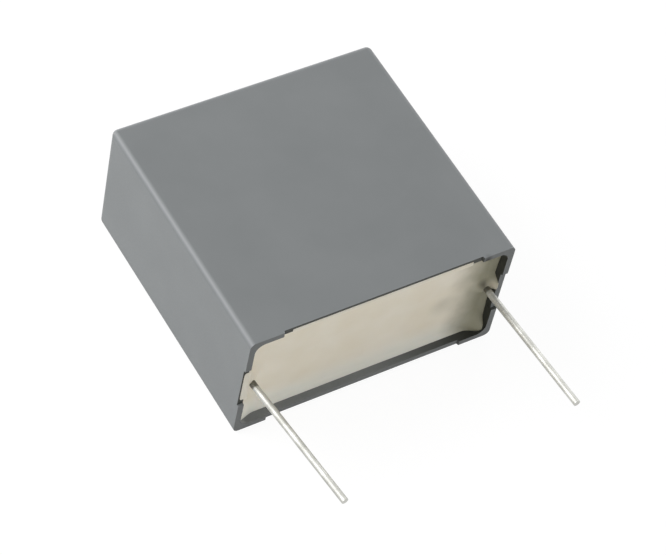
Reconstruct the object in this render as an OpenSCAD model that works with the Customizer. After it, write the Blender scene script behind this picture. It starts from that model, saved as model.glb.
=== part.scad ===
// Box film capacitor, radial leads, lying on one of its large faces.
// X runs along the line between the two leads, +Y points from the leads to the closed end of the case, and
// +Z points up. The origin is the middle of the large face that the part rests on.

/* [Case] */
// Length of the case, along the line between the leads
case_length = 41.5; // [30:0.5:60]
// Thickness of the case, across its two large faces
case_thickness = 20; // [12:0.5:28]
// Height of the case, from the tips of its feet to its closed end
case_height = 40; // [32:0.5:60]
// Thickness of the four side walls
wall = 0.9; // [0.6:0.05:1.6]
// Thickness of the closed end
end_wall = 1.1; // [0.8:0.05:2.5]
// Radius of the outer edges and corners
edge_radius = 0.9; // [0.4:0.05:2]
// Radius of the cavity's four long corners
cavity_radius = 1.5; // [1.4:0.05:3]
// Radius between the cavity's walls and its closed end
cavity_floor_radius = 1; // [0.3:0.05:1.4]

/* [Feet] */
// Height that the four feet stand proud of the rim
foot_height = 0.35; // [0.2:0.05:1]
// Length of each foot along a long wall, from the case's end face
foot_along_length = 5.1; // [3:0.1:10]
// Length of each foot along a short wall, from the case's large face
foot_along_thickness = 6; // [2.5:0.1:6.5]
// Slope of the ends of the feet, as a run along the wall
foot_slope = 0.12; // [0.05:0.01:0.4]

/* [Gate mark] */
// Diameter of the shallow dimple round the moulding gate, in the closed end
gate_dimple_diameter = 2.6; // [1.5:0.1:5]
// Depth of the dimple
gate_dimple_depth = 0.2; // [0.1:0.05:0.5]
// Diameter of the gate stub left in the dimple
gate_stub_diameter = 0.9; // [0.4:0.1:1.2]
// Height of the gate stub above the dimple's floor
gate_stub_height = 0.12; // [0.05:0.01:0.18]

/* [Potting resin] */
// Depth of the flat of the resin below the tips of the feet
resin_recess = 1.9; // [1.9:0.05:3]
// Height that the resin climbs the walls above its flat
meniscus_rise = 0.4; // [0.2:0.05:0.8]
// Radius of the climbing edge
meniscus_radius = 1.4; // [1.1:0.05:1.5]
// Height that the resin climbs the four corners of the case above its flat
corner_rise = 1.5; // [0.8:0.05:1.5]
// Radius of the climb at the corners
corner_climb_radius = 2.2; // [1.6:0.05:3]
// Depth of the shallow sink in the middle of the resin
sink_depth = 0.3; // [0.1:0.05:0.6]
// Distance from the walls at which the sink fades out
sink_margin = 1.8; // [1.5:0.1:3]
// Height that the resin climbs the left lead above its flat
left_flare_rise = 1.5; // [0.4:0.05:1.5]
// Height that the resin climbs the right lead above its flat
right_flare_rise = 0.8; // [0.4:0.05:1.5]
// Radius of the flare round each lead
flare_radius = 1.8; // [1.6:0.05:2.5]

/* [Film roll] */
// Resin left between the wrapped roll and the case
roll_gap = 0.5; // [0.3:0.05:1.5]
// Depth of the wrapped roll below the flat of the resin
roll_depth = 2.6; // [1.5:0.1:5]
// Thickness of the plain film wrapped over the roll
cover_thickness = 0.3; // [0.1:0.05:0.8]
// Width of the slit that the winding mandrel leaves
slit_width = 0.25; // [0.1:0.05:0.8]
// Thickness of the metal sprayed on each end of the roll
spray_thickness = 0.5; // [0.3:0.05:1]

/* [Leads] */
// Diameter of the lead wire
lead_diameter = 1; // [0.6:0.05:1.2]
// Resin left between a lead and the case's end wall
lead_wall_gap = 0.45; // [0.3:0.05:2]
// Depth that each lead is sunk into the sprayed metal
lead_sink = 0.12; // [0.05:0.01:0.25]
// Length of lead laid along the sprayed metal
lead_overlap = 23; // [14:0.5:25]
// Distance from the top of the higher flare to the bends
bend_margin = 0.3; // [0.3:0.05:2]
// How far the bend swells past the wire
bend_swell = 0.02; // [0.02:0.01:0.05]
// Length of the left lead past the tips of the feet, square to the rim
left_lead_length = 21; // [4:0.5:35]
// Length of the right lead past the tips of the feet, square to the rim
right_lead_length = 20.5; // [4:0.5:35]
// Lean of the left lead towards the right, in degrees
left_lean = 5.5; // [-6:0.25:10]
// Lean of the right lead away from the left one, in degrees
right_lean = 3.25; // [-10:0.25:6]

/* [Solder joints] */
// Length of each solder bead along its lead
bead_length = 9; // [4:0.5:14]
// Thickness of solder over a lead
bead_cover = 0.2; // [0.1:0.05:0.25]

/* [Hidden] */
$fn = 96;

LEFT = -1;
RIGHT = 1;
over = 1; // how far a cutting tool runs past what it cuts

// Levels along Y, from the tips of the feet to the closed end
seat_y = -case_height / 2;
resin_y = seat_y + resin_recess;
bend_y = resin_y - max(left_flare_rise, right_flare_rise) - bend_margin;
closed_y = case_height / 2;
cavity_end_y = closed_y - end_wall;
mid_z = case_thickness / 2;

cavity_length = case_length - 2 * wall;
cavity_thickness = case_thickness - 2 * wall;
corner_x = cavity_length / 2 - cavity_radius;
corner_z = cavity_thickness / 2 - cavity_radius;

lead_radius = lead_diameter / 2;
lead_x = cavity_length / 2 - lead_wall_gap - lead_radius;
spray_face_x = lead_x - lead_radius + lead_sink;
winding_length = 2 * (spray_face_x - spray_thickness);

wrap_thickness = cavity_thickness - 2 * roll_gap;
wrap_start_y = resin_y + roll_depth;
wrap_end_y = cavity_end_y - roll_gap;
wrap_height = wrap_end_y - wrap_start_y;
wrap_mid_y = (wrap_start_y + wrap_end_y) / 2;
lead_inner_y = wrap_start_y + lead_overlap;
bead_y = (wrap_start_y + lead_inner_y) / 2;
bead_radius = lead_diameter - lead_sink + bead_cover;

// Horizontal reach of an arc of the given radius that rises by the given height
function arc_run(radius, rise) = sqrt(radius * radius - (radius - rise) * (radius - rise));

// ---------- shapes that repeat ----------

// A rectangle from y = 0 up, centred on x = 0, with its two far corners rounded
module end_rounded_outline(width, height, radius) {
    translate([-width / 2, 0]) square([width, height - radius]);
    translate([radius - width / 2, 0]) square([width - 2 * radius, height]);
    for (side = [-1, 1])
        translate([side * (width / 2 - radius), height - radius]) circle(radius);
}

// Half outline of a round column whose far edge is rounded
module column_half_outline(radius, height, end_radius) {
    square([radius, height - end_radius]);
    if (radius > end_radius) square([radius - end_radius, height]);
    intersection() {
        translate([radius - end_radius, height - end_radius]) circle(end_radius);
        square([radius, height]);
    }
}

// A block along Y from start_y to end_y, square at its start, with rounded long edges and a rounded end
module moulded_block(length, thickness, start_y, end_y, side_radius, end_radius) {
    height = end_y - start_y;
    r = min(end_radius, side_radius);
    translate([0, start_y, mid_z]) {
        linear_extrude(thickness - 2 * side_radius, center = true)
            end_rounded_outline(length, height, r);
        rotate([0, -90, 0]) linear_extrude(length - 2 * side_radius, center = true)
            end_rounded_outline(thickness, height, r);
        for (x_side = [-1, 1], z_side = [-1, 1])
            translate([x_side * (length / 2 - side_radius), 0, z_side * (thickness / 2 - side_radius)])
                rotate([-90, 0, 0]) rotate_extrude() column_half_outline(side_radius, height, r);
    }
}

// The space inside the case, from start_y to its closed end
module cavity_form(start_y) {
    moulded_block(cavity_length, cavity_thickness, start_y, cavity_end_y, cavity_radius,
                  cavity_floor_radius);
}

// A flat-pressed roll's outline, straight-sided with round ends, drawn across x and along y
module roll_outline(thickness, height) {
    square([thickness, height - thickness], center = true);
    for (end = [-1, 1]) translate([0, end * (height - thickness) / 2]) circle(thickness / 2);
}

// A roll's outline made into a bar along X, at the roll's own place in the case
module roll_bar(thickness, height, length) {
    translate([0, wrap_mid_y, mid_z]) rotate([0, -90, 0])
        linear_extrude(length, center = true) roll_outline(thickness, height);
}

// ---------- case ----------

// The gap between two feet, as a bar whose sloping sides open towards the leads
module foot_gap(width, bar_length) {
    linear_extrude(bar_length, center = true) polygon([
        [-width / 2, foot_height],
        [width / 2, foot_height],
        [width / 2 + foot_slope * (1 + over / foot_height), -over],
        [-width / 2 - foot_slope * (1 + over / foot_height), -over]
    ]);
}

module foot_gaps() {
    translate([0, seat_y, mid_z]) {
        foot_gap(case_length - 2 * (foot_along_length + foot_slope), case_thickness + 2 * over);
        rotate([0, 90, 0])
            foot_gap(case_thickness - 2 * (foot_along_thickness + foot_slope), case_length + 2 * over);
    }
}

module gate_mark() {
    translate([0, closed_y - gate_dimple_depth, mid_z]) rotate([-90, 0, 0]) difference() {
        cylinder(h = gate_dimple_depth + over, d = gate_dimple_diameter);
        translate([0, 0, -over]) cylinder(h = gate_stub_height + over, d = gate_stub_diameter);
    }
}

module case() {
    color([0.49, 0.51, 0.52]) difference() {
        moulded_block(case_length, case_thickness, seat_y, closed_y, edge_radius, edge_radius);
        cavity_form(seat_y - over);
        foot_gaps();
        gate_mark();
    }
}

// ---------- potting resin ----------

// Section of the resin that climbs a wall, with the wall at x = 0 and the flat of the resin at y = 0
module climbing_outline() {
    run = arc_run(meniscus_radius, meniscus_rise);
    difference() {
        translate([-run, 0]) square([run, meniscus_radius]);
        translate([-run, meniscus_radius]) circle(meniscus_radius);
    }
}

// The resin that climbs the case's four walls and turns its four corners
module climbing_edge() {
    translate([0, resin_y, mid_z]) rotate([90, 0, 0]) for (turn = [0, 1]) rotate([0, 0, 180 * turn]) {
        translate([cavity_length / 2, 0, 0]) rotate([90, 0, 0])
            linear_extrude(2 * corner_z, center = true) climbing_outline();
        translate([0, cavity_thickness / 2, 0]) rotate([90, 0, 90])
            linear_extrude(2 * corner_x, center = true) climbing_outline();
        for (flip = [0, 1]) mirror([0, flip, 0])
            translate([corner_x, corner_z, 0]) rotate_extrude(angle = 90)
                translate([cavity_radius, 0]) climbing_outline();
    }
}

// A barrel along X whose belly leaves the shallow sink in the middle of the resin
module resin_sink() {
    half_length = cavity_length / 2 - sink_margin;
    half_width = cavity_thickness / 2 - sink_margin;
    belly = (half_width * half_width + sink_depth * sink_depth) / (2 * sink_depth);
    sweep = (half_length * half_length + sink_depth * sink_depth) / (2 * sink_depth);
    translate([0, resin_y + sink_depth - belly, mid_z]) rotate([0, 90, 0]) rotate_extrude($fn = 720)
        intersection() {
            translate([belly - sweep, 0]) circle(sweep, $fn = 1440);
            translate([0, -half_length - over]) square([belly, 2 * (half_length + over)]);
        }
}

// Resin that climbs a round column along Y. It starts below the resin's flat, because the flat sinks in
// the middle.
module climbing_flare(x, z, column_radius, rise, radius) {
    foot = column_radius + arc_run(radius, rise);
    translate([x, resin_y, z]) rotate([90, 0, 0]) rotate_extrude() {
        difference() {
            square([foot, radius]);
            translate([foot, radius]) circle(radius);
        }
        translate([0, -sink_depth]) square([foot, sink_depth]);
    }
}

// The resin that climbs the two leads and the four corners of the case
module climbing_flares() {
    for (side = [LEFT, RIGHT]) {
        climbing_flare(side * lead_x, mid_z, lead_radius, flare_rise(side), flare_radius);
        for (z_side = [-1, 1])
            climbing_flare(side * (corner_x + cavity_radius * cos(45)),
                           mid_z + z_side * (corner_z + cavity_radius * sin(45)),
                           0, corner_rise, corner_climb_radius);
    }
}

module potting_resin() {
    color([0.80, 0.76, 0.67]) difference() {
        union() {
            difference() {
                cavity_form(resin_y);
                resin_sink();
            }
            climbing_edge();
            intersection() {
                cavity_form(seat_y);
                climbing_flares();
            }
        }
        roll_bar(wrap_thickness, wrap_height, 2 * spray_face_x);
        for (side = [LEFT, RIGHT]) {
            lead_form(side);
            bead_form(side);
        }
    }
}

// ---------- film roll ----------

module film_winding() {
    roll_thickness = wrap_thickness - 2 * cover_thickness;
    roll_height = wrap_height - 2 * cover_thickness;
    color([0.66, 0.66, 0.68]) difference() {
        roll_bar(roll_thickness, roll_height, winding_length);
        roll_bar(slit_width, roll_height - roll_thickness + slit_width, winding_length + 2 * over);
    }
}

module cover_film() {
    color([0.88, 0.87, 0.80]) difference() {
        roll_bar(wrap_thickness, wrap_height, winding_length);
        roll_bar(wrap_thickness - 2 * cover_thickness, wrap_height - 2 * cover_thickness,
                 winding_length + 2 * over);
    }
}

// Sprayed metal over one end of the wrapped roll, grooved where its lead is sunk into it
module end_contact(side) {
    color([0.60, 0.60, 0.58]) difference() {
        translate([side * (winding_length + spray_thickness) / 2, 0, 0])
            roll_bar(wrap_thickness, wrap_height, spray_thickness);
        lead_form(side);
    }
}

module end_contact_left() { end_contact(LEFT); }
module end_contact_right() { end_contact(RIGHT); }

// ---------- leads ----------

function flare_rise(side) = side == LEFT ? left_flare_rise : right_flare_rise;
function lean(side) = side == LEFT ? left_lean : right_lean;
function outer_length(side) = side == LEFT ? left_lead_length : right_lead_length;

// Length of a leaning lead, from its bend to its tip
function leaning_length(side) = (bend_y - seat_y + outer_length(side)) / cos(lean(side));

// A straight stretch of a lead along +Z. It starts inside the bend, which stands at the origin.
module wire_run(length) {
    start = 3 * bend_swell;
    translate([0, 0, start]) cylinder(h = length - start, r = lead_radius);
}

// A lead laid along its sprayed end, bent once where it leaves the resin, then straight to its tip. It is
// drawn about its bend, which is a ball because a bent wire swells a little.
module lead_form(side) {
    translate([side * lead_x, bend_y, mid_z]) {
        sphere(lead_radius + bend_swell);
        rotate([-90, 0, 0]) wire_run(lead_inner_y - bend_y);
        rotate([0, 0, lean(side)]) rotate([90, 0, 0]) wire_run(leaning_length(side));
    }
}

module lead_left() { color([0.78, 0.78, 0.76]) lead_form(LEFT); }
module lead_right() { color([0.78, 0.78, 0.76]) lead_form(RIGHT); }

// ---------- solder joints ----------

// Half a round-ended bead, lying on the sprayed metal over its lead
module bead_form(side) {
    translate([side * spray_face_x, bead_y, mid_z]) rotate([-90, -side * 90, 0])
        rotate_extrude(angle = 180) intersection() {
            roll_outline(2 * bead_radius, bead_length);
            translate([0, -bead_length]) square([bead_length, 2 * bead_length]);
        }
}

module solder_joint(side) {
    color([0.74, 0.74, 0.73]) difference() {
        bead_form(side);
        lead_form(side);
    }
}

module solder_joint_left() { solder_joint(LEFT); }
module solder_joint_right() { solder_joint(RIGHT); }

case();
potting_resin();
film_winding();
cover_film();
end_contact_left();
end_contact_right();
solder_joint_left();
solder_joint_right();
lead_left();
lead_right();
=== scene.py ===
import math

import bmesh
import bpy
from mathutils import Matrix, Vector, noise


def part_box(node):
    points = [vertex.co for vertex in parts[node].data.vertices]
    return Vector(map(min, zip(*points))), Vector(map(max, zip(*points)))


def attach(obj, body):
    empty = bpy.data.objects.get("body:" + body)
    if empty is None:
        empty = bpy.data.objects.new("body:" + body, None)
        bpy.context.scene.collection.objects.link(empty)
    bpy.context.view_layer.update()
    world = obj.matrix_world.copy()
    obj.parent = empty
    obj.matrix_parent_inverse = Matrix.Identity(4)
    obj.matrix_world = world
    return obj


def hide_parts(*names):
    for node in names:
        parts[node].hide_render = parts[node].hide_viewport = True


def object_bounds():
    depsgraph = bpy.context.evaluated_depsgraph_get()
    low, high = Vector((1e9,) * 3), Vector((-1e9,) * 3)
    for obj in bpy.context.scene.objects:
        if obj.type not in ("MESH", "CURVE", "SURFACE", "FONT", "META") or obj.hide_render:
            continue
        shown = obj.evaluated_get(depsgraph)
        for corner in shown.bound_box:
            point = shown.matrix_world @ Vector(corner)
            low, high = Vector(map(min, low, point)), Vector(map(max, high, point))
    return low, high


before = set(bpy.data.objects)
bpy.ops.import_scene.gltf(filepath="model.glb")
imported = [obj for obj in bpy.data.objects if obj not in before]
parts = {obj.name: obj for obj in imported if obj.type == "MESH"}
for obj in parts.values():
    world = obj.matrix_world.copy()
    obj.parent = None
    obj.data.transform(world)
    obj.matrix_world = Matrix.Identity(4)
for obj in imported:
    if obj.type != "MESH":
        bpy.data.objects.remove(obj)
cad_box = [list(corner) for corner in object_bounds()]


# ---------- film winding ----------
# Several hundred turns of metallised polypropylene film, wound on a flat mandrel and pressed. Its turns show
# as fine lines on a silvery film that runs along the roll.

MM = 0.001
FILM_SILVER = (0.42, 0.42, 0.44, 1)
FILM_SHADE = (0.33, 0.33, 0.36, 1)
TURNS_PER_METRE = 9000
STREAKS_PER_METRE = 40


def finish(name):
    """A new material whose Principled shader is ready to be wired, with its node tree and shader."""
    material = bpy.data.materials.new(name)
    material.use_nodes = True
    tree = material.node_tree
    return material, tree, tree.nodes["Principled BSDF"]


def add_node(tree, kind, **values):
    """Adds a shader node and sets its inputs, or the node's own settings, by their names."""
    node = tree.nodes.new(kind)
    for name, value in values.items():
        socket = node.inputs.get(name.replace("_", " "))
        if socket is None:
            setattr(node, name, value)
        else:
            socket.default_value = value
    return node


def dress(node_name, material):
    """Gives a CAD piece its finish in every material slot that it has."""
    mesh = parts[node_name].data
    mesh.materials.clear()
    mesh.materials.append(material)


def new_group(name, inputs, outputs):
    """A shader node group whose inputs and outputs are lists of (name, kind, default)."""
    group = bpy.data.node_groups.new(name, "ShaderNodeTree")
    for in_out, sockets in (("INPUT", inputs), ("OUTPUT", outputs)):
        for socket_name, kind, default in sockets:
            socket = group.interface.new_socket(socket_name, in_out=in_out, socket_type=kind)
            if default is not None:
                socket.default_value = default
    return group, group.nodes.new("NodeGroupInput"), group.nodes.new("NodeGroupOutput")


def grain_group():
    """Fine grain of a surface, stretched along any axis: a height for bump and a mask from 0 to 1."""
    group, given, result = new_group(
        "Surface grain",
        [("Grains per Metre", "NodeSocketVector", (5000, 5000, 5000)), ("Softness", "NodeSocketFloat", 0.5)],
        [("Height", "NodeSocketFloat", None), ("Mask", "NodeSocketFloat", None)],
    )
    place = group.nodes.new("ShaderNodeTexCoord")
    stretch = add_node(group, "ShaderNodeVectorMath", operation="MULTIPLY")
    speckle = add_node(group, "ShaderNodeTexNoise", Scale=1, Detail=3)
    mask = add_node(group, "ShaderNodeMapRange", From_Min=0.35, From_Max=0.65)
    group.links.new(place.outputs["Object"], stretch.inputs[0])
    group.links.new(given.outputs["Grains per Metre"], stretch.inputs[1])
    group.links.new(stretch.outputs["Vector"], speckle.inputs["Vector"])
    group.links.new(given.outputs["Softness"], speckle.inputs["Roughness"])
    group.links.new(speckle.outputs["Fac"], mask.inputs["Value"])
    group.links.new(speckle.outputs["Fac"], result.inputs["Height"])
    group.links.new(mask.outputs["Result"], result.inputs["Mask"])
    return group


surface_grain = grain_group()


def add_grain(tree, grains_per_metre, softness=0.5):
    """Places the surface grain in a material."""
    node = add_node(tree, "ShaderNodeGroup", node_tree=surface_grain)
    node.inputs["Grains per Metre"].default_value = grains_per_metre
    node.inputs["Softness"].default_value = softness
    return node


def raise_grain(tree, shader, height, strength, distance):
    """Turns a height into bump on the shader."""
    bump = add_node(tree, "ShaderNodeBump", Strength=strength, Distance=distance)
    tree.links.new(height, bump.inputs["Height"])
    tree.links.new(bump.outputs["Normal"], shader.inputs["Normal"])


def blend_colours(tree, shader, factor, first, second):
    """Mixes two colours by a mask into the shader's base colour. The first may be another blend's output."""
    mix = add_node(tree, "ShaderNodeMix", data_type="RGBA")
    colours = [socket for socket in mix.inputs if socket.type == "RGBA"]
    for socket, colour in zip(colours, (first, second)):
        if isinstance(colour, tuple):
            socket.default_value = colour
        else:
            tree.links.new(colour, socket)
    blended = next(socket for socket in mix.outputs if socket.type == "RGBA")
    tree.links.new(factor, mix.inputs["Factor"])
    tree.links.new(blended, shader.inputs["Base Color"])
    return blended


def vary_roughness(tree, shader, mask, at_zero, at_one):
    """Lets the roughness follow a mask, from its value where the mask is 0 to its value where it is 1."""
    spread = add_node(tree, "ShaderNodeMapRange", To_Min=at_zero, To_Max=at_one)
    tree.links.new(mask, spread.inputs["Value"])
    tree.links.new(spread.outputs["Result"], shader.inputs["Roughness"])


film, film_tree, film_shader = finish("metallised film")
film_shader.inputs["Metallic"].default_value = 0.6
film_turns = add_grain(film_tree, (STREAKS_PER_METRE, TURNS_PER_METRE, TURNS_PER_METRE))
blend_colours(film_tree, film_shader, film_turns.outputs["Mask"], FILM_SHADE, FILM_SILVER)
vary_roughness(film_tree, film_shader, film_turns.outputs["Mask"], at_zero=0.22, at_one=0.4)
raise_grain(film_tree, film_shader, film_turns.outputs["Height"], strength=0.3, distance=0.02 * MM)
dress("film_winding", film)


# ---------- cover film ----------
# A few turns of plain film, wrapped over the pressed roll and heat-sealed. It is milky where the turns lie
# on each other.

COVER_CLEAR = (0.70, 0.69, 0.62, 1)
COVER_MILKY = (0.78, 0.77, 0.71, 1)
CREASES_PER_METRE = (60, 900, 900)

cover, cover_tree, cover_shader = finish("plain film")
cover_creases = add_grain(cover_tree, CREASES_PER_METRE)
blend_colours(cover_tree, cover_shader, cover_creases.outputs["Mask"], COVER_CLEAR, COVER_MILKY)
vary_roughness(cover_tree, cover_shader, cover_creases.outputs["Mask"], at_zero=0.18, at_one=0.32)
raise_grain(cover_tree, cover_shader, cover_creases.outputs["Height"], strength=0.25, distance=0.1 * MM)
dress("cover_film", cover)


# ---------- end contacts ----------
# Zinc sprayed hot on each end of the roll, so that it joins the edges of all the turns. It is rough, dull
# and slightly darker in its pits.

ZINC_DULL = (0.36, 0.36, 0.35, 1)
ZINC_PIT = (0.23, 0.23, 0.23, 1)
GRIT_PER_METRE = (5200, 5200, 5200)

zinc, zinc_tree, zinc_shader = finish("sprayed zinc")
zinc_shader.inputs["Metallic"].default_value = 0.85
zinc_grit = add_grain(zinc_tree, GRIT_PER_METRE, softness=0.65)
blend_colours(zinc_tree, zinc_shader, zinc_grit.outputs["Mask"], ZINC_PIT, ZINC_DULL)
vary_roughness(zinc_tree, zinc_shader, zinc_grit.outputs["Mask"], at_zero=0.75, at_one=0.55)
raise_grain(zinc_tree, zinc_shader, zinc_grit.outputs["Height"], strength=0.8, distance=0.12 * MM)
for side in ("left", "right"):
    dress(f"end_contact_{side}", zinc)


# ---------- solder joints ----------
# A bead of tin solder, melted over each lead where it lies on the sprayed zinc. It is bright, with a faint
# ripple from the iron.

SOLDER_BRIGHT = (0.66, 0.66, 0.64, 1)
SOLDER_DULL = (0.50, 0.50, 0.50, 1)
RIPPLES_PER_METRE = (700, 1600, 700)

solder, solder_tree, solder_shader = finish("tin solder")
solder_shader.inputs["Metallic"].default_value = 1.0
solder_ripple = add_grain(solder_tree, RIPPLES_PER_METRE)
blend_colours(solder_tree, solder_shader, solder_ripple.outputs["Mask"], SOLDER_DULL, SOLDER_BRIGHT)
vary_roughness(solder_tree, solder_shader, solder_ripple.outputs["Mask"], at_zero=0.34, at_one=0.2)
raise_grain(solder_tree, solder_shader, solder_ripple.outputs["Height"], strength=0.4, distance=0.1 * MM)
for side in ("left", "right"):
    dress(f"solder_joint_{side}", solder)


# ---------- leads ----------
# Two tinned copper wires, drawn to 1 mm and cut square. The tin is satin, with faint lines along the wire
# from the drawing die. Where each one leaves the resin, a dark collar is a painted reflection of the dark
# case.

TIN_BRIGHT = (0.60, 0.60, 0.57, 1)
TIN_DULL = (0.47, 0.47, 0.44, 1)
# A painted reflection of the dark case, where each lead leaves the resin.
TIN_PAINTED_REFLECTION = (0.17, 0.165, 0.14, 1)
COLLAR_START = -20.2 * MM
COLLAR_END = -19.8 * MM
COLLAR_RAGGED = 0.4 * MM
INTO_RESIN = (-0.03, 1, 0)
DIE_LINES_PER_METRE = (9000, 260, 9000)
TIN_PATCHES_PER_METRE = (420, 420, 420)
WAVERS_PER_METRE = 350


def fade_group():
    """A mask that grows from 0 to 1 along any axis, between two places in metres, with a ragged front."""
    group, given, result = new_group(
        "Fade along an axis",
        [
            ("Axis", "NodeSocketVector", (1, 0, 0)), ("Start", "NodeSocketFloat", 0.0),
            ("End", "NodeSocketFloat", 1.0), ("Ragged", "NodeSocketFloat", 0.0),
        ],
        [("Mask", "NodeSocketFloat", None)],
    )
    place = group.nodes.new("ShaderNodeTexCoord")
    along = add_node(group, "ShaderNodeVectorMath", operation="DOT_PRODUCT")
    waver = add_node(group, "ShaderNodeTexNoise", Scale=WAVERS_PER_METRE, Detail=2)
    centred = add_node(group, "ShaderNodeMath", operation="SUBTRACT")
    centred.inputs[1].default_value = 0.5
    moved = add_node(group, "ShaderNodeMath", operation="MULTIPLY_ADD")
    front = add_node(group, "ShaderNodeMapRange", interpolation_type="SMOOTHSTEP")
    group.links.new(place.outputs["Object"], along.inputs[0])
    group.links.new(given.outputs["Axis"], along.inputs[1])
    group.links.new(place.outputs["Object"], waver.inputs["Vector"])
    group.links.new(waver.outputs["Fac"], centred.inputs[0])
    group.links.new(centred.outputs[0], moved.inputs[0])
    group.links.new(given.outputs["Ragged"], moved.inputs[1])
    group.links.new(along.outputs["Value"], moved.inputs[2])
    group.links.new(moved.outputs[0], front.inputs["Value"])
    group.links.new(given.outputs["Start"], front.inputs["From Min"])
    group.links.new(given.outputs["End"], front.inputs["From Max"])
    group.links.new(front.outputs["Result"], result.inputs["Mask"])
    return group


fade_along_axis = fade_group()


def add_fade(tree, axis, start, end, ragged=0.0):
    """Places the fade in a material, and returns its mask."""
    node = add_node(tree, "ShaderNodeGroup", node_tree=fade_along_axis)
    node.inputs["Axis"].default_value = axis
    node.inputs["Start"].default_value = start
    node.inputs["End"].default_value = end
    node.inputs["Ragged"].default_value = ragged
    return node.outputs["Mask"]


tin, tin_tree, tin_shader = finish("tinned wire")
tin_shader.inputs["Metallic"].default_value = 1.0
tin_lines = add_grain(tin_tree, DIE_LINES_PER_METRE)
tin_patches = add_grain(tin_tree, TIN_PATCHES_PER_METRE, softness=0.6)
tin_reflection_band = add_fade(tin_tree, INTO_RESIN, COLLAR_START, COLLAR_END, COLLAR_RAGGED)
clean_tin = blend_colours(tin_tree, tin_shader, tin_patches.outputs["Mask"], TIN_BRIGHT, TIN_DULL)
# Painted reflection: each lead is made dark where it leaves the resin.
blend_colours(tin_tree, tin_shader, tin_reflection_band, clean_tin, TIN_PAINTED_REFLECTION)
vary_roughness(tin_tree, tin_shader, tin_patches.outputs["Mask"], at_zero=0.48, at_one=0.60)
raise_grain(tin_tree, tin_shader, tin_lines.outputs["Height"], strength=0.35, distance=0.02 * MM)
for side in ("left", "right"):
    dress(f"lead_{side}", tin)


# ---------- case ----------
# An injection-moulded box of grey plastic with a smooth satin skin, slightly clouded. A painted highlight
# makes its rounded edges paler. Painted shade darkens its inner walls and rim, most of all at the right end,
# and a painted shadow darkens the step of the upper right foot.

CASE_GREY = (0.205, 0.217, 0.221, 1)
CASE_CLOUD = (0.219, 0.231, 0.235, 1)
# A painted highlight on the rounded edges.
CASE_PAINTED_HIGHLIGHT = (0.30, 0.31, 0.32, 1)
# Painted shade for the open rim, the recessed rim and the inner walls.
CASE_PAINTED_SHADE = (0.030, 0.032, 0.026, 1)
# A painted shadow at the step of the upper right foot.
CASE_PAINTED_SHADOW = (0.008, 0.008, 0.007, 1)
CLOUDS_PER_METRE = (90, 90, 90)
SKIN_GRAIN_PER_METRE = (4200, 4200, 4200)
# How dark the painted shade on the open rim is, and where the painted shade on the recessed rim and the
# inner walls lies.
RIM_SHADE_SHARE = 0.42
RECESS_BEGINS, RECESS_FULL = 0.1 * MM, 0.25 * MM
LAPPED_AXIS = (-1, 0, 2)
LAPPED_FROM, LAPPED_FULL = 19 * MM, 24 * MM
INNER_SHADE_FROM, INNER_SHADE_FULL, INNER_SHADE_RAGGED = -1 * MM, 21 * MM, 2 * MM
# The painted shadow at the step of the upper right foot: its middle and radius in millimetres.
FOOT_STEP_SHADOW = (16.3, -20.0, 19.35)
FOOT_STEP_SHADOW_RADIUS = 0.95


def spot_group():
    """A round spot: 1 near its centre and 0 past its radius, in metres."""
    group, given, result = new_group(
        "Spot",
        [("Centre", "NodeSocketVector", (0, 0, 0)), ("Radius", "NodeSocketFloat", 0.001)],
        [("Mask", "NodeSocketFloat", None)],
    )
    place = group.nodes.new("ShaderNodeTexCoord")
    distance = add_node(group, "ShaderNodeVectorMath", operation="DISTANCE")
    mask = add_node(group, "ShaderNodeMapRange", interpolation_type="SMOOTHSTEP", To_Min=1, To_Max=0)
    group.links.new(place.outputs["Object"], distance.inputs[0])
    group.links.new(given.outputs["Centre"], distance.inputs[1])
    group.links.new(distance.outputs["Value"], mask.inputs["Value"])
    group.links.new(given.outputs["Radius"], mask.inputs["From Max"])
    group.links.new(mask.outputs["Result"], result.inputs["Mask"])
    return group


round_spot = spot_group()


def add_spot(tree, centre, radius):
    """Places a spot in a material by its centre and radius in millimetres, and returns its mask."""
    node = add_node(tree, "ShaderNodeGroup", node_tree=round_spot)
    node.inputs["Centre"].default_value = Vector(centre) * MM
    node.inputs["Radius"].default_value = radius * MM
    return node.outputs["Mask"]


def product(tree, *factors):
    """Multiplies masks by each other, or by plain numbers."""
    result = factors[0]
    for factor in factors[1:]:
        node = add_node(tree, "ShaderNodeMath", operation="MULTIPLY")
        tree.links.new(result, node.inputs[0])
        if isinstance(factor, float):
            node.inputs[1].default_value = factor
        else:
            tree.links.new(factor, node.inputs[1])
        result = node.outputs[0]
    return result


def edge_highlight_mask(tree, flat=0.99, rounded=0.75):
    """A mask of the rounded edges for a painted highlight, by the largest part of the normal: 0 on flat
    faces, 1 in a rounding.
    """
    place = tree.nodes.new("ShaderNodeTexCoord")
    size = add_node(tree, "ShaderNodeVectorMath", operation="ABSOLUTE")
    split = tree.nodes.new("ShaderNodeSeparateXYZ")
    wider = add_node(tree, "ShaderNodeMath", operation="MAXIMUM")
    widest = add_node(tree, "ShaderNodeMath", operation="MAXIMUM")
    mask = add_node(tree, "ShaderNodeMapRange", From_Min=flat, From_Max=rounded)
    tree.links.new(place.outputs["Normal"], size.inputs[0])
    tree.links.new(size.outputs["Vector"], split.inputs["Vector"])
    tree.links.new(split.outputs["X"], wider.inputs[0])
    tree.links.new(split.outputs["Y"], wider.inputs[1])
    tree.links.new(wider.outputs[0], widest.inputs[0])
    tree.links.new(split.outputs["Z"], widest.inputs[1])
    tree.links.new(widest.outputs[0], mask.inputs["Value"])
    return mask.outputs["Result"]


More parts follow.
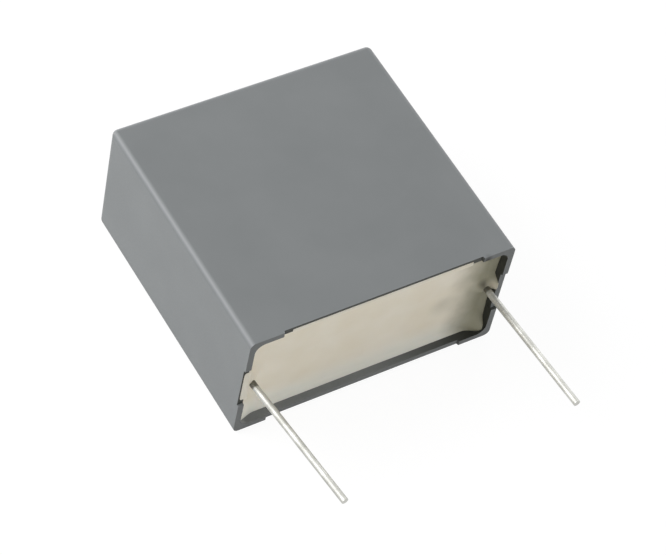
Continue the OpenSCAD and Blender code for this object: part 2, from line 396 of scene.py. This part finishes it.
def inner_walls(tree, middle, sideways=-1 * MM, inwards=-2 * MM):
    """A mask of the walls that face the middle of the case, across its length and its thickness."""
    place = tree.nodes.new("ShaderNodeTexCoord")
    outwards = add_node(tree, "ShaderNodeVectorMath", operation="SUBTRACT")
    outwards.inputs[1].default_value = middle
    level = add_node(tree, "ShaderNodeVectorMath", operation="MULTIPLY")
    level.inputs[1].default_value = (1, 0, 1)
    facing = add_node(tree, "ShaderNodeVectorMath", operation="DOT_PRODUCT")
    mask = add_node(tree, "ShaderNodeMapRange", From_Min=sideways, From_Max=inwards)
    tree.links.new(place.outputs["Object"], outwards.inputs[0])
    tree.links.new(outwards.outputs["Vector"], level.inputs[0])
    tree.links.new(level.outputs["Vector"], facing.inputs[0])
    tree.links.new(place.outputs["Normal"], facing.inputs[1])
    tree.links.new(facing.outputs["Value"], mask.inputs["Value"])
    return mask.outputs["Result"]


def open_rim(tree, slanted=-0.8, level=-0.95):
    """A mask of the faces that look out of the open end, by the normal's share along Y."""
    place = tree.nodes.new("ShaderNodeTexCoord")
    split = tree.nodes.new("ShaderNodeSeparateXYZ")
    mask = add_node(tree, "ShaderNodeMapRange", From_Min=slanted, From_Max=level)
    tree.links.new(place.outputs["Normal"], split.inputs["Vector"])
    tree.links.new(split.outputs["Y"], mask.inputs["Value"])
    return mask.outputs["Result"]


case_low, case_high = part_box("case")
case_middle = (case_low + case_high) / 2
plastic, plastic_tree, plastic_shader = finish("moulded grey plastic")
plastic_shader.inputs["Specular IOR Level"].default_value = 0.25
plastic_clouds = add_grain(plastic_tree, CLOUDS_PER_METRE)
plastic_skin = add_grain(plastic_tree, SKIN_GRAIN_PER_METRE, softness=0.6)
clouded = blend_colours(plastic_tree, plastic_shader, plastic_clouds.outputs["Mask"], CASE_GREY, CASE_CLOUD)
# Painted highlight: the rounded edges are made paler.
highlighted_edges = blend_colours(plastic_tree, plastic_shader, edge_highlight_mask(plastic_tree), clouded, CASE_PAINTED_HIGHLIGHT)
rim = open_rim(plastic_tree)
# Painted shade: the open rim is made darker.
rim_shaded = blend_colours(plastic_tree, plastic_shader, product(plastic_tree, rim, RIM_SHADE_SHARE), highlighted_edges, CASE_PAINTED_SHADE)
recess = add_fade(plastic_tree, (0, 1, 0), case_low.y + RECESS_BEGINS, case_low.y + RECESS_FULL)
lapped_sides = add_fade(plastic_tree, LAPPED_AXIS, LAPPED_FROM, LAPPED_FULL)
# Painted shadow: the recessed rim between the feet is made dark.
recess_shade_mask = product(plastic_tree, rim, recess, lapped_sides)
recess_shaded = blend_colours(plastic_tree, plastic_shader, recess_shade_mask, rim_shaded, CASE_PAINTED_SHADE)
# Painted shade: the inner walls are made dark, most of all towards the right end.
shade_towards_right = add_fade(plastic_tree, (1, 0, 0), INNER_SHADE_FROM, INNER_SHADE_FULL, INNER_SHADE_RAGGED)
shaded_walls = product(plastic_tree, inner_walls(plastic_tree, case_middle), shade_towards_right)
walls_shaded = blend_colours(plastic_tree, plastic_shader, shaded_walls, recess_shaded, CASE_PAINTED_SHADE)
# Painted shadow: a dark spot at the step of the upper right foot.
step_shadow = add_spot(plastic_tree, FOOT_STEP_SHADOW, FOOT_STEP_SHADOW_RADIUS)
blend_colours(plastic_tree, plastic_shader, step_shadow, walls_shaded, CASE_PAINTED_SHADOW)
vary_roughness(plastic_tree, plastic_shader, plastic_skin.outputs["Mask"], at_zero=0.40, at_one=0.48)
raise_grain(plastic_tree, plastic_shader, plastic_skin.outputs["Height"], strength=0.12, distance=0.03 * MM)
dress("case", plastic)


# ---------- potting resin ----------
# Cream epoxy, poured into the case over the roll and cured there. It shrinks into a trough, climbs the
# corners and both leads, laps thinly over parts of the rim, and browns towards its right end, partly in its
# own colour and partly as painted shade. Painted light makes it paler along the lower wall and on the web by
# the right lead; painted shade darkens its dimple and the right lead's root.

RESIN_CREAM = (0.84, 0.77, 0.62, 1)
RESIN_CLOUD = (0.88, 0.82, 0.69, 1)
# Painted light along the lower wall.
RESIN_PAINTED_LIGHT = (0.93, 0.91, 0.81, 1)
# The right end's brown, partly the resin's own colour and partly painted shade; also the painted shade in
# the dimple.
RESIN_BROWN_SHADE = (0.28, 0.268, 0.185, 1)
# Painted shade at the right lead's root.
RESIN_PAINTED_SHADE = (0.09, 0.082, 0.05, 1)
RESIN_CLOUDS_PER_METRE = (160, 160, 160)
FILLER_PER_METRE = (2600, 2600, 2600)
SHARP_ANGLE = math.radians(40)

# The rim between the feet, and the resin's thin coat and laps on it, in millimetres. Near a lapped rim the
# skin lifts from LIFT_BEGINS off the wall to LIFT_FULL off it.
RIM_DEPTH = 0.35
FEET_GAP_HALF = 15.4
FOOT_GAP_Z = (6.4, 13.7)
COAT = 0.04
LEFT_LAP = 0.66
LEFT_LAP_ENDS, LEFT_LAP_FULL = 4.0, 2.6
UPPER_LAP = 0.46
UPPER_LAP_FULL = 14
LIFT_BEGINS, LIFT_FULL = 1.8, 0.15
NEAR_WALL = 1
LEAST_LAP = 0.1
LAP_EDGE_END, LAP_EDGE_SHARPNESS = 1.5, 6

# The pool's depth below the feet, its trough along the length, its ripple and the dimple in it, in
# millimetres. The trough's shape is the power of a sine.
POOL_DEPTH = 1.68
TROUGH_DEPTH = 0.32
TROUGH_SHAPE = 0.8
RIPPLE = 0.04
RIPPLES_PER_MM, RIPPLE_SEED = (0.16, 0.3), 3.1
DIMPLE_X, DIMPLE_Z = 12.5, 8.6
DIMPLE_DEPTH = 0.18
DIMPLE_HALF_LENGTH, DIMPLE_HALF_WIDTH = 1.8, 0.9

# The resin's climbs: the rise and reach on each wall and on the left (-1) and right (1) lead, and the rise
# and steepness in each corner.
WALL_CLIMBS = {"lower": (0.27, 1.3), "upper": (0.9, 1.5), "right": (0.5, 1.2), "left": (0.9, 1.8)}
CAVITY_CORNER = 1.5
CORNER_REACH = 4.0
CORNER_CLIMBS = {
    ("left", "lower"): (1.35, 1.7), ("right", "lower"): (1.85, 1.7),
    ("left", "upper"): (1.3, 1.8), ("right", "upper"): (1.3, 1.6),
}
WIRE_RADIUS = 0.5
WIRE_FROM_WALL = 0.95
WIRE_CLIMBS = {-1: (1.55, 2.6), 1: (0.80, 2.2)}
WIRE_STEEPNESS = 2.2

# The web of resin between the right lead and the wall, in millimetres.
WEB_RISE, WEB_REACH = 1.75, 1.5
WEB_Z, WEB_HALF, WEB_CORE = 11.1, 2.3, 0.5

# Where the resin's painted light and shade lie: painted light along the lower wall, a brown at the right end
# that is partly painted shade, and round spots, each with its middle and radius in millimetres: painted
# shade in the dimple and at the right lead, and painted light on the web beside it.
LOWER_LIGHT_FROM, LOWER_LIGHT_FULL, LOWER_LIGHT_RAGGED = 5.5 * MM, 1.5 * MM, 1 * MM
BROWN_SHADE_FROM, BROWN_SHADE_FULL, BROWN_SHADE_RAGGED = 12 * MM, 19 * MM, 2.5 * MM
DIMPLE_SHADE = 0.3
DIMPLE_SHADE_DEPTH, DIMPLE_SHADE_RADIUS = 1.9, 3.0
ROOT_SHADE, ROOT_SHADE_RADIUS = (18.4, -18.7, 10.9), 1.3
WEB_PAINTED_LIGHT, WEB_PAINTED_LIGHT_RADIUS = (20.2, -19.4, 10.8), 2.0

# How far the poured block runs past the cavity before it is cut, in millimetres.
PAST_LEFT, PAST_RIGHT = 0.72, 0.4
PAST_SIDES = 0.52
PAST_BACK = 0.5

# Points of a cutting tool that lie closer than this are one point.
WELD_DISTANCE = 0.0001 * MM

resin_low, resin_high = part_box("potting_resin")
feet_y = case_low.y / MM
half_length = resin_high.x / MM
floor_z = resin_low.z / MM
ceiling_z = resin_high.z / MM
middle_z = (floor_z + ceiling_z) / 2
half_thickness = (ceiling_z - floor_z) / 2
wire_x = half_length - WIRE_FROM_WALL


def ease(value, start, end):
    """0 before start, 1 after end, and smooth between them."""
    t = min(max((value - start) / (end - start), 0), 1)
    return t * t * (3 - 2 * t)


def climb(distance, rise, reach, steepness=2.0):
    """How far resin stands above its pool at a distance from what it climbs."""
    return rise * max(1 - max(distance, 0) / reach, 0) ** steepness


def past_wall(x, z):
    """Distance past the cavity's wall, in millimetres. It is negative inside the cavity."""
    out_x = abs(x) - half_length + CAVITY_CORNER
    out_z = abs(z - middle_z) - half_thickness + CAVITY_CORNER
    return math.hypot(max(out_x, 0), max(out_z, 0)) + min(max(out_x, out_z), 0) - CAVITY_CORNER


def lapped(x, z):
    """How far resin laps over the rim here, and the rim's depth below the tips of the feet."""
    if x < -half_length + NEAR_WALL and FOOT_GAP_Z[0] < z < FOOT_GAP_Z[1]:
        return LEFT_LAP * ease(abs(z - middle_z), LEFT_LAP_ENDS, LEFT_LAP_FULL), RIM_DEPTH
    if z > ceiling_z - NEAR_WALL and abs(x) < FEET_GAP_HALF:
        return UPPER_LAP * ease(abs(x), FEET_GAP_HALF, UPPER_LAP_FULL), RIM_DEPTH
    return 0, 0


def resin_depth(x, z):
    """Depth of the resin's skin below the tips of the feet, in millimetres."""
    gaps = {"left": x + half_length, "right": half_length - x, "lower": z - floor_z, "upper": ceiling_z - z}
    across = min(max(gaps["lower"] / (2 * half_thickness), 0), 1)
    pool = POOL_DEPTH + TROUGH_DEPTH * math.sin(math.pi * across) ** TROUGH_SHAPE
    pool += RIPPLE * noise.noise(Vector((x * RIPPLES_PER_MM[0], z * RIPPLES_PER_MM[1], RIPPLE_SEED)))
    off_x, off_z = (x - DIMPLE_X) / DIMPLE_HALF_LENGTH, (z - DIMPLE_Z) / DIMPLE_HALF_WIDTH
    pool += DIMPLE_DEPTH * math.exp(-off_x ** 2 - off_z ** 2)
    lap, rim = lapped(x, z)
    past = past_wall(x, z)
    rises = [(pool - rim + 2 * COAT) * ease(-past, LIFT_BEGINS, LIFT_FULL) * min(lap / UPPER_LAP, 1)]
    for wall, (rise, reach) in WALL_CLIMBS.items():
        rises.append(climb(gaps[wall], rise, reach))
    for (side, level), (rise, steepness) in CORNER_CLIMBS.items():
        rises.append(climb(math.hypot(gaps[side], gaps[level]), rise, CORNER_REACH, steepness))
    for side, (rise, reach) in WIRE_CLIMBS.items():
        from_wire = math.hypot(x - side * wire_x, z - middle_z) - WIRE_RADIUS
        rises.append(climb(from_wire, rise, reach, WIRE_STEEPNESS))
    rises.append(climb(gaps["right"], WEB_RISE, WEB_REACH) * ease(abs(z - WEB_Z), WEB_HALF, WEB_CORE))
    joined = sum(rise ** 4 for rise in rises) ** 0.25
    depth = max(pool - joined, rim - COAT)
    if past <= 0:
        return depth
    edge = min(past / max(lap, LEAST_LAP), LAP_EDGE_END) ** LAP_EDGE_SHARPNESS
    return max(depth, rim - COAT * (1 - edge))


def stations(low, high, fine, coarse, fine_reach):
    """Grid lines that stand close together near both ends and wider apart in the middle."""
    ends = [low + fine * k for k in range(int(fine_reach / fine) + 1)]
    spread = high - low - 2 * (ends[-1] - low)
    count = max(round(spread / coarse), 1)
    middle = [ends[-1] + spread * k / count for k in range(1, count)]
    return ends + middle + [high + low - value for value in reversed(ends)]


def cast_block(name):
    """The resin before it is cut to the case: its skin as a fine grid, with straight sides and a back."""
    xs = stations(-half_length - PAST_LEFT, half_length + PAST_RIGHT, fine=0.12, coarse=0.4, fine_reach=5)
    zs = stations(floor_z - PAST_SIDES, ceiling_z + PAST_SIDES, fine=0.11, coarse=0.2, fine_reach=3)
    back_y = resin_high.y + PAST_BACK * MM
    wide, tall = len(xs), len(zs)
    points = [(x * MM, (feet_y + resin_depth(x, z)) * MM, z * MM) for z in zs for x in xs]
    faces = [
        (row * wide + k, row * wide + k + 1, (row + 1) * wide + k + 1, (row + 1) * wide + k)
        for row in range(tall - 1) for k in range(wide - 1)
    ]
    edge = list(range(wide))
    edge += [row * wide + wide - 1 for row in range(1, tall)]
    edge += [(tall - 1) * wide + k for k in range(wide - 2, -1, -1)]
    edge += [row * wide for row in range(tall - 2, 0, -1)]
    first_back = len(points)
    points += [(points[k][0], back_y, points[k][2]) for k in edge]
    count = len(edge)
    faces += [
        (edge[k], first_back + k, first_back + (k + 1) % count, edge[(k + 1) % count]) for k in range(count)
    ]
    faces.append([first_back + k for k in range(count)])
    mesh = bpy.data.meshes.new(name)
    mesh.from_pydata(points, [], faces)
    block = bpy.data.objects.new(name, mesh)
    bpy.context.scene.collection.objects.link(block)
    return block


def welded_copy(mesh, name):
    """A closed copy of a CAD piece's mesh, used as a cutting tool."""
    shape = bmesh.new()
    shape.from_mesh(mesh)
    bmesh.ops.remove_doubles(shape, verts=shape.verts, dist=WELD_DISTANCE)
    welded = bpy.data.meshes.new(name)
    shape.to_mesh(welded)
    shape.free()
    tool = bpy.data.objects.new(name, welded)
    bpy.context.scene.collection.objects.link(tool)
    return tool


def cut_away(piece, tool):
    """Cuts a tool out of a piece and removes the tool."""
    cut = piece.modifiers.new("cut", "BOOLEAN")
    cut.operation = "DIFFERENCE"
    cut.solver = "EXACT"
    cut.object = tool
    bpy.context.view_layer.update()
    result = piece.evaluated_get(bpy.context.evaluated_depsgraph_get())
    rest_of_piece = bpy.data.meshes.new_from_object(result)
    piece.modifiers.clear()
    piece.data = rest_of_piece
    bpy.data.objects.remove(tool)


casting = cast_block("potting_resin_cast")
for node_name in (
    "case", "cover_film", "film_winding", "end_contact_left", "end_contact_right",
    "solder_joint_left", "solder_joint_right", "lead_left", "lead_right",
):
    cut_away(casting, welded_copy(parts[node_name].data, f"{node_name} tool"))

resin, resin_tree, resin_shader = finish("cast epoxy resin")
resin_shader.inputs["Subsurface Weight"].default_value = 0.15
resin_shader.inputs["Subsurface Radius"].default_value = (1.0, 0.75, 0.5)
resin_shader.inputs["Subsurface Scale"].default_value = 0.6 * MM
resin_clouds = add_grain(resin_tree, RESIN_CLOUDS_PER_METRE)
resin_filler = add_grain(resin_tree, FILLER_PER_METRE, softness=0.6)
cream = blend_colours(resin_tree, resin_shader, resin_clouds.outputs["Mask"], RESIN_CREAM, RESIN_CLOUD)
# Painted light: the resin is made paler along the lower wall.
lower_edge = add_fade(resin_tree, (0, 0, 1), LOWER_LIGHT_FROM, LOWER_LIGHT_FULL, LOWER_LIGHT_RAGGED)
lower_edge_lit = blend_colours(resin_tree, resin_shader, lower_edge, cream, RESIN_PAINTED_LIGHT)
# Towards the right end the resin is browner, partly its own colour and partly painted shade.
right_end = add_fade(resin_tree, (1, 0, 0), BROWN_SHADE_FROM, BROWN_SHADE_FULL, BROWN_SHADE_RAGGED)
browned_and_shaded = blend_colours(resin_tree, resin_shader, right_end, lower_edge_lit, RESIN_BROWN_SHADE)
# Painted shade in the dimple, in the resin's brown.
dimple = add_spot(resin_tree, (DIMPLE_X, feet_y + DIMPLE_SHADE_DEPTH, DIMPLE_Z), DIMPLE_SHADE_RADIUS)
dimple_shade = product(resin_tree, dimple, DIMPLE_SHADE)
shaded = blend_colours(resin_tree, resin_shader, dimple_shade, browned_and_shaded, RESIN_BROWN_SHADE)
# Painted shade: a dark spot on the shadowed side of the right lead's root.
root = add_spot(resin_tree, ROOT_SHADE, ROOT_SHADE_RADIUS)
root_shaded = blend_colours(resin_tree, resin_shader, root, shaded, RESIN_PAINTED_SHADE)
# Painted light: the web beside the right lead is made pale where it catches light.
web = add_spot(resin_tree, WEB_PAINTED_LIGHT, WEB_PAINTED_LIGHT_RADIUS)
blend_colours(resin_tree, resin_shader, web, root_shaded, RESIN_CREAM)
vary_roughness(resin_tree, resin_shader, resin_filler.outputs["Mask"], at_zero=0.42, at_one=0.52)
raise_grain(resin_tree, resin_shader, resin_filler.outputs["Height"], strength=0.15, distance=0.04 * MM)
casting.data.materials.clear()
casting.data.materials.append(resin)
casting.data.polygons.foreach_set("use_smooth", [True] * len(casting.data.polygons))
casting.data.polygons.foreach_set("material_index", [0] * len(casting.data.polygons))
casting.data.set_sharp_from_angle(angle=SHARP_ANGLE)
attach(casting, "root")
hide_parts("potting_resin")
dress("potting_resin", resin)


# ---------- table, light and camera ----------
# The part lies on a plain white table. A soft key lamp stands high behind it on the left, a weaker one low
# in front of the open end and another low behind it on the right, and the world fills in.

TABLE_HALF = 1.5
TABLE_GAP = 0.02 * MM
WORLD_FILL = 0.36
TABLE_WHITE = (0.80, 0.80, 0.80, 1)
TABLE_GLOW = 1.06
TABLE_GLOW_SHARE = 0.88

corner_signs = ((-1, -1), (1, -1), (1, 1), (-1, 1))
table_mesh = bpy.data.meshes.new("table")
table_z = cad_box[0][2] - TABLE_GAP
table_mesh.from_pydata(
    [(x * TABLE_HALF, y * TABLE_HALF, table_z) for x, y in corner_signs], [], [(0, 1, 2, 3)]
)
table = bpy.data.objects.new("table", table_mesh)
bpy.context.scene.collection.objects.link(table)


def seen_directly(tree):
    """1 for rays that show the background itself: from the camera, from gloss and through glass."""
    path = tree.nodes.new("ShaderNodeLightPath")
    first = add_node(tree, "ShaderNodeMath", operation="MAXIMUM")
    second = add_node(tree, "ShaderNodeMath", operation="MAXIMUM")
    tree.links.new(path.outputs["Is Camera Ray"], first.inputs[0])
    tree.links.new(path.outputs["Is Glossy Ray"], first.inputs[1])
    tree.links.new(first.outputs[0], second.inputs[0])
    tree.links.new(path.outputs["Is Transmission Ray"], second.inputs[1])
    return second.outputs[0]


table_finish, table_tree, table_shader = finish("white table")
table_shader.inputs["Base Color"].default_value = TABLE_WHITE
table_shader.inputs["Roughness"].default_value = 0.9
table_shader.inputs["Specular IOR Level"].default_value = 0.1
glow = add_node(table_tree, "ShaderNodeEmission", Color=(1, 1, 1, 1), Strength=TABLE_GLOW)
share = add_node(table_tree, "ShaderNodeMath", operation="MULTIPLY")
share.inputs[1].default_value = TABLE_GLOW_SHARE
both = table_tree.nodes.new("ShaderNodeMixShader")
table_tree.links.new(seen_directly(table_tree), share.inputs[0])
table_tree.links.new(share.outputs[0], both.inputs["Fac"])
table_tree.links.new(table_shader.outputs["BSDF"], both.inputs[1])
table_tree.links.new(glow.outputs["Emission"], both.inputs[2])
table_tree.links.new(both.outputs["Shader"], table_tree.nodes["Material Output"].inputs["Surface"])
table_mesh.materials.append(table_finish)

world = bpy.data.worlds.new("studio")
bpy.context.scene.world = world
world.use_nodes = True
world_light = world.node_tree.nodes["Background"]
world_light.inputs["Color"].default_value = (1, 1, 1, 1)
fill_or_white = add_node(world.node_tree, "ShaderNodeMapRange", To_Min=WORLD_FILL, To_Max=1.0)
world.node_tree.links.new(seen_directly(world.node_tree), fill_or_white.inputs["Value"])
world.node_tree.links.new(fill_or_white.outputs["Result"], world_light.inputs["Strength"])


def soft_lamp(name, direction, distance, size, power):
    """A square lamp that looks at the middle of the part from the given direction."""
    lamp = bpy.data.lights.new(name, "AREA")
    lamp.size = size
    lamp.energy = power
    holder = bpy.data.objects.new(name, lamp)
    towards = Vector(direction).normalized()
    middle = (Vector(cad_box[0]) + Vector(cad_box[1])) / 2
    holder.location = middle + towards * distance
    holder.rotation_euler = towards.to_track_quat("Z", "Y").to_euler()
    bpy.context.scene.collection.objects.link(holder)


soft_lamp("key lamp", (-0.62, 0.48, 0.62), distance=0.5, size=0.35, power=2.1)
soft_lamp("front lamp", (0.2, -0.93, 0.3), distance=0.7, size=0.4, power=0.85)
soft_lamp("rim lamp", (0.70, 0.64, 0.32), distance=0.7, size=0.4, power=1.1)

CAMERA_TARGET = Vector((0, -8.5, 10)) * MM
CAMERA_DISTANCE = 390.8 * MM
CAMERA_AZIMUTH = math.radians(-40.7)
CAMERA_ELEVATION = math.radians(51.4)
CAMERA_ROLL = math.radians(13.7)
CAMERA_LENS = 153.5
CAMERA_SENSOR = 36

away = Vector((
    math.cos(CAMERA_ELEVATION) * math.sin(CAMERA_AZIMUTH),
    -math.cos(CAMERA_ELEVATION) * math.cos(CAMERA_AZIMUTH),
    math.sin(CAMERA_ELEVATION),
))
camera_data = bpy.data.cameras.new("camera")
camera_data.lens = CAMERA_LENS
camera_data.sensor_width = CAMERA_SENSOR
camera = bpy.data.objects.new("camera", camera_data)
bpy.context.scene.collection.objects.link(camera)
upright = away.to_track_quat("Z", "Y").to_matrix().to_4x4()
placed = Matrix.Translation(CAMERA_TARGET + away * CAMERA_DISTANCE)
camera.matrix_world = placed @ upright @ Matrix.Rotation(CAMERA_ROLL, 4, "Z")
bpy.context.scene.camera = camera
bpy.context.scene.view_settings.view_transform = "Standard"
